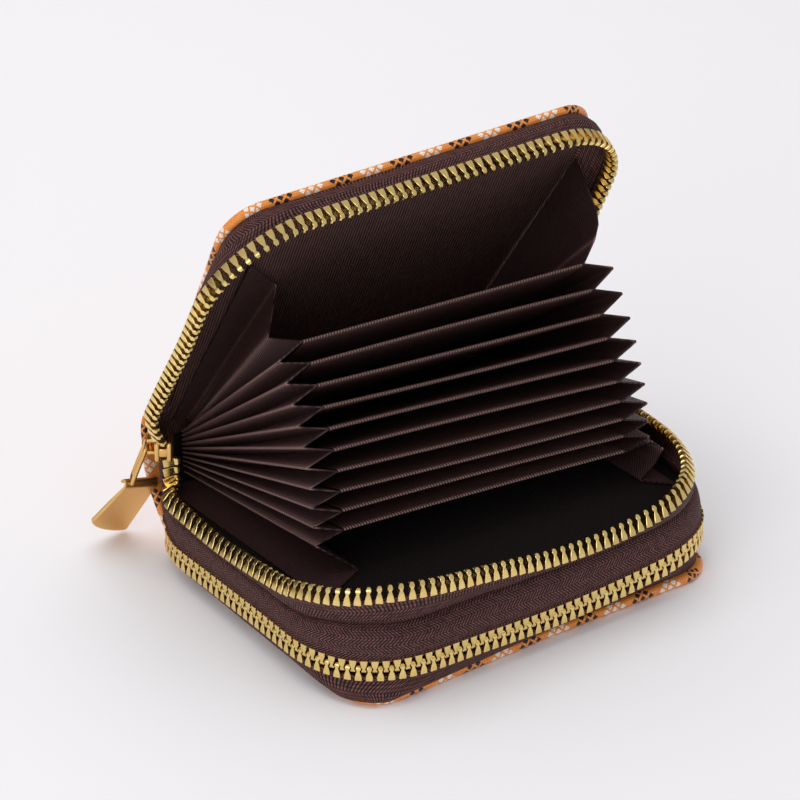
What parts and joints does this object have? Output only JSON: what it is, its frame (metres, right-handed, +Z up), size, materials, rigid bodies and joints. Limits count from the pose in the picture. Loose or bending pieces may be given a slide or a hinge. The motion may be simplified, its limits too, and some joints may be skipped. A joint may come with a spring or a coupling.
{
  "type": "card wallet",
  "caption": "Double-zip accordion card wallet lying open: orange printed cover, dark fan of card pockets with pleated sides, brass zips and a flat gold pull on a wire ring.",
  "frame": {"origin": "middle of the underside of the base cover, on the surface the wallet lies on", "axes": "+X along the spine to the right, -Y towards the open front, +Z up"},
  "size_m": [0.1305, 0.1061, 0.1095],
  "materials": {
    "orange_canvas": "coated canvas, satin print",
    "grey_board": "matt fibre board",
    "black_lining": "ribbed, matt",
    "zip_tape": "woven, matt",
    "brass": "polished",
    "pull_gold": "pale gold plate",
    "page_cloth": "ribbed satin",
    "gusset_satin": "satin"
  },
  "bodies": {
    "base": {"base_cover": "orange_canvas", "base_board": "grey_board", "coin_pocket_floor": "black_lining", "lower_zip_base_tape": "zip_tape", "lower_zip_body_tape": "zip_tape", "lower_zip_base_teeth": "brass", "lower_zip_body_teeth": "brass", "divider_board": "grey_board", "floor_lining": "black_lining", "upper_zip_body_tape": "zip_tape", "upper_zip_body_teeth": "brass", "left_gusset": "gusset_satin", "right_gusset": "gusset_satin", "upper_zip_body_teeth_left": "brass", "upper_zip_body_teeth_right": "brass", "upper_zip_body_tape_left": "zip_tape", "upper_zip_body_tape_right": "zip_tape"},
    "spine": {"spine_cover": "orange_canvas", "spine_lining": "black_lining", "upper_zip_stop": "brass"},
    "upper_slider_body": {"upper_slider": "brass"},
    "lid": {"lid_cover": "orange_canvas", "lid_board": "grey_board", "lid_lining": "black_lining", "upper_zip_lid_tape": "zip_tape", "upper_zip_lid_teeth": "brass", "upper_zip_lid_teeth_left": "brass", "upper_zip_lid_teeth_right": "brass", "upper_zip_lid_tape_left": "zip_tape", "upper_zip_lid_tape_right": "zip_tape"},
    "page_10_body": {"page_10": "page_cloth"},
    "page_09_body": {"page_09": "page_cloth"},
    "page_08_body": {"page_08": "page_cloth"},
    "page_07_body": {"page_07": "page_cloth"},
    "page_06_body": {"page_06": "page_cloth"},
    "page_05_body": {"page_05": "page_cloth"},
    "page_04_body": {"page_04": "page_cloth"},
    "page_03_body": {"page_03": "page_cloth"},
    "page_02_body": {"page_02": "page_cloth"},
    "page_01_body": {"page_01": "page_cloth"},
    "upper_ring": {"upper_pull_ring": "pull_gold"},
    "upper_tab": {"upper_pull_tab": "pull_gold"},
    "lower_slider_body": {"lower_slider": "brass"},
    "lower_tab": {"lower_pull_tab": "pull_gold"}
  },
  "joints": [
    {"name": "spine_fold", "type": "hinge", "parent": "base", "child": "spine", "pos_m": [0, 0.0426, 0.0006], "axis": [-1, 0, 0], "range_deg": [-12.8, 2.4]},
    {"name": "lid_fold", "type": "hinge", "parent": "spine", "child": "lid", "pos_m": [0, 0.05041, 0.03338], "axis": [-1, 0, 0], "range_deg": [-45.1, 8], "deforming": ["left_gusset", "right_gusset", "upper_zip_body_teeth_left", "upper_zip_body_teeth_right", "upper_zip_body_tape_left", "upper_zip_body_tape_right", "upper_zip_lid_teeth_left", "upper_zip_lid_teeth_right", "upper_zip_lid_tape_left", "upper_zip_lid_tape_right"]},
    {"name": "page_10_fold", "type": "hinge", "parent": "base", "child": "page_10_body", "pos_m": [0, 0.0405, 0.0202], "axis": [-1, 0, 0], "range_deg": [-7.9, 1.45]},
    {"name": "page_09_fold", "type": "hinge", "parent": "page_10_body", "child": "page_09_body", "pos_m": [0, 0.0407, 0.02133], "axis": [-1, 0, 0], "range_deg": [-3.8, 0.7]},
    {"name": "page_08_fold", "type": "hinge", "parent": "page_09_body", "child": "page_08_body", "pos_m": [0, 0.04097, 0.02245], "axis": [-1, 0, 0], "range_deg": [-3.8, 0.7]},
    {"name": "page_07_fold", "type": "hinge", "parent": "page_08_body", "child": "page_07_body", "pos_m": [0, 0.04132, 0.02355], "axis": [-1, 0, 0], "range_deg": [-3.8, 0.7]},
    {"name": "page_06_fold", "type": "hinge", "parent": "page_07_body", "child": "page_06_body", "pos_m": [0, 0.04174, 0.02461], "axis": [-1, 0, 0], "range_deg": [-3.8, 0.7]},
    {"name": "page_05_fold", "type": "hinge", "parent": "page_06_body", "child": "page_05_body", "pos_m": [0, 0.04224, 0.02565], "axis": [-1, 0, 0], "range_deg": [-3.8, 0.7]},
    {"name": "page_04_fold", "type": "hinge", "parent": "page_05_body", "child": "page_04_body", "pos_m": [0, 0.04281, 0.02665], "axis": [-1, 0, 0], "range_deg": [-3.8, 0.7]},
    {"name": "page_03_fold", "type": "hinge", "parent": "page_04_body", "child": "page_03_body", "pos_m": [0, 0.04344, 0.02761], "axis": [-1, 0, 0], "range_deg": [-3.8, 0.7]},
    {"name": "page_02_fold", "type": "hinge", "parent": "page_03_body", "child": "page_02_body", "pos_m": [0, 0.04414, 0.02852], "axis": [-1, 0, 0], "range_deg": [-3.8, 0.7]},
    {"name": "page_01_fold", "type": "hinge", "parent": "page_02_body", "child": "page_01_body", "pos_m": [0, 0.04491, 0.02938], "axis": [-1, 0, 0], "range_deg": [-3.8, 0.7]},
    {"name": "upper_slider_shift", "type": "slide", "parent": "spine", "child": "upper_slider_body", "axis": [0, 0.2317, 0.9728], "range_m": [-0.0042, 0.0008]},
    {"name": "upper_ring_swing", "type": "hinge", "parent": "upper_slider_body", "child": "upper_ring", "pos_m": [-0.05657, 0.04616, 0.0314], "axis": [0.5707, 0.8211, 0], "range_deg": [-8, 60]},
    {"name": "upper_tab_swing", "type": "hinge", "parent": "upper_ring", "child": "upper_tab", "pos_m": [-0.05911, 0.04792, 0.02126], "axis": [0.9737, -0.0371, -0.2246], "range_deg": [-14, 3]},
    {"name": "lower_slider_travel", "type": "slide", "parent": "base", "child": "lower_slider_body", "axis": [0, -1, 0], "range_m": [0, 0.048], "deforming": ["lower_zip_base_teeth", "lower_zip_body_teeth"]},
    {"name": "lower_tab_swing", "type": "hinge", "parent": "lower_slider_body", "child": "lower_tab", "pos_m": [0.0615, 0.0365, 0.0083], "axis": [0, 0, 1], "range_deg": [0, 150]}
  ],
  "couplings": [
    {"joint": "spine_fold", "follows": "lid_fold", "ratio": 0.28151},
    {"joint": "upper_slider_shift", "follows": "lid_fold", "m_per_rad": 0.0051},
    {"joint": "page_10_fold", "follows": "lid_fold", "ratio": 0.17437},
    {"joint": "page_09_fold", "follows": "lid_fold", "ratio": 0.08311},
    {"joint": "page_08_fold", "follows": "lid_fold", "ratio": 0.08311},
    {"joint": "page_07_fold", "follows": "lid_fold", "ratio": 0.08311},
    {"joint": "page_06_fold", "follows": "lid_fold", "ratio": 0.08311},
    {"joint": "page_05_fold", "follows": "lid_fold", "ratio": 0.08311},
    {"joint": "page_04_fold", "follows": "lid_fold", "ratio": 0.08311},
    {"joint": "page_03_fold", "follows": "lid_fold", "ratio": 0.08311},
    {"joint": "page_02_fold", "follows": "lid_fold", "ratio": 0.08311},
    {"joint": "page_01_fold", "follows": "lid_fold", "ratio": 0.08311}
  ]
}
